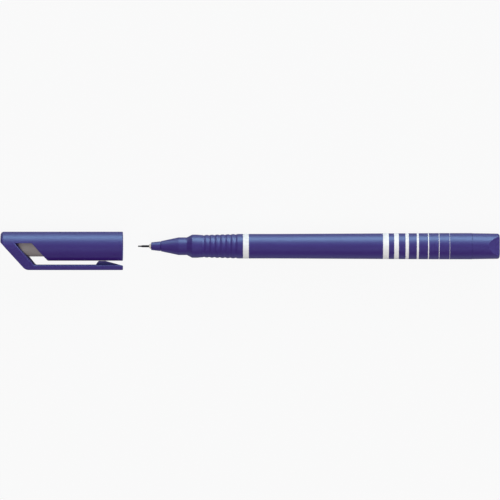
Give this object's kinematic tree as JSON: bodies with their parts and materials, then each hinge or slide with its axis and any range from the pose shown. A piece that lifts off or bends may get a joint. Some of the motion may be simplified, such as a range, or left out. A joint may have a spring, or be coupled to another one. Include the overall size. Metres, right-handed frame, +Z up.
{
  "type": "fineliner pen",
  "caption": "Slim fineliner pen, cap taken off: ribbed grip, needle tip that gives under pressure, plugged barrel, and a slant-ended clip cap with an inner seal.",
  "frame": {"origin": "the writing point, at the front end of the nib, on the pen's axis", "axes": "+X from the writing point along the pen to its tail, +Z up from the table that it lies on, the clip of the cap points to -Y"},
  "size_m": [0.1846, 0.0142, 0.0108],
  "materials": {
    "violet_plastic": "satin moulded polypropylene, with white bands printed on the barrel",
    "grey_plastic": "dull moulded polyethylene",
    "ivory_plastic": "smooth acetal",
    "steel_tube": "drawn stainless tube",
    "nib_core": "porous core soaked with ink",
    "spring_steel": "bright drawn wire",
    "ink_fibre": "bundled fibre soaked with ink",
    "clear_film": "thin rolled film"
  },
  "bodies": {
    "pen": {"barrel": "violet_plastic", "grip_section": "violet_plastic", "nose_bush": "violet_plastic", "spring_seat": "ivory_plastic", "tip_spring": "spring_steel", "ink_reservoir": "ink_fibre", "reservoir_wrap": "clear_film", "tail_plug": "violet_plastic"},
    "tip": {"nib": "nib_core", "nib_tube": "steel_tube", "nib_holder": "ivory_plastic", "ink_wick": "ink_fibre"},
    "cap": {"cap_body": "violet_plastic", "cap_liner": "grey_plastic"},
    "clip": {"cap_clip": "violet_plastic"}
  },
  "joints": [
    {"name": "tip_press", "type": "slide", "parent": "pen", "child": "tip", "axis": [1, 0, 0], "range_m": [0, 0.0008], "stiffness_N_per_m": 800, "springref_m": -0.0004, "deforming": ["tip_spring"]},
    {"name": "cap_slide", "type": "slide", "parent": "pen", "child": "cap", "axis": [1, 0, 0], "range_m": [0, 0.0443]},
    {"name": "clip_flex", "type": "hinge", "parent": "cap", "child": "clip", "pos_m": [-0.03454, -0.0078, 0], "axis": [0, 0, -1], "range_deg": [0, 5], "stiffness_Nm_per_rad": 0.5, "springref_deg": -1.15}
  ]
}
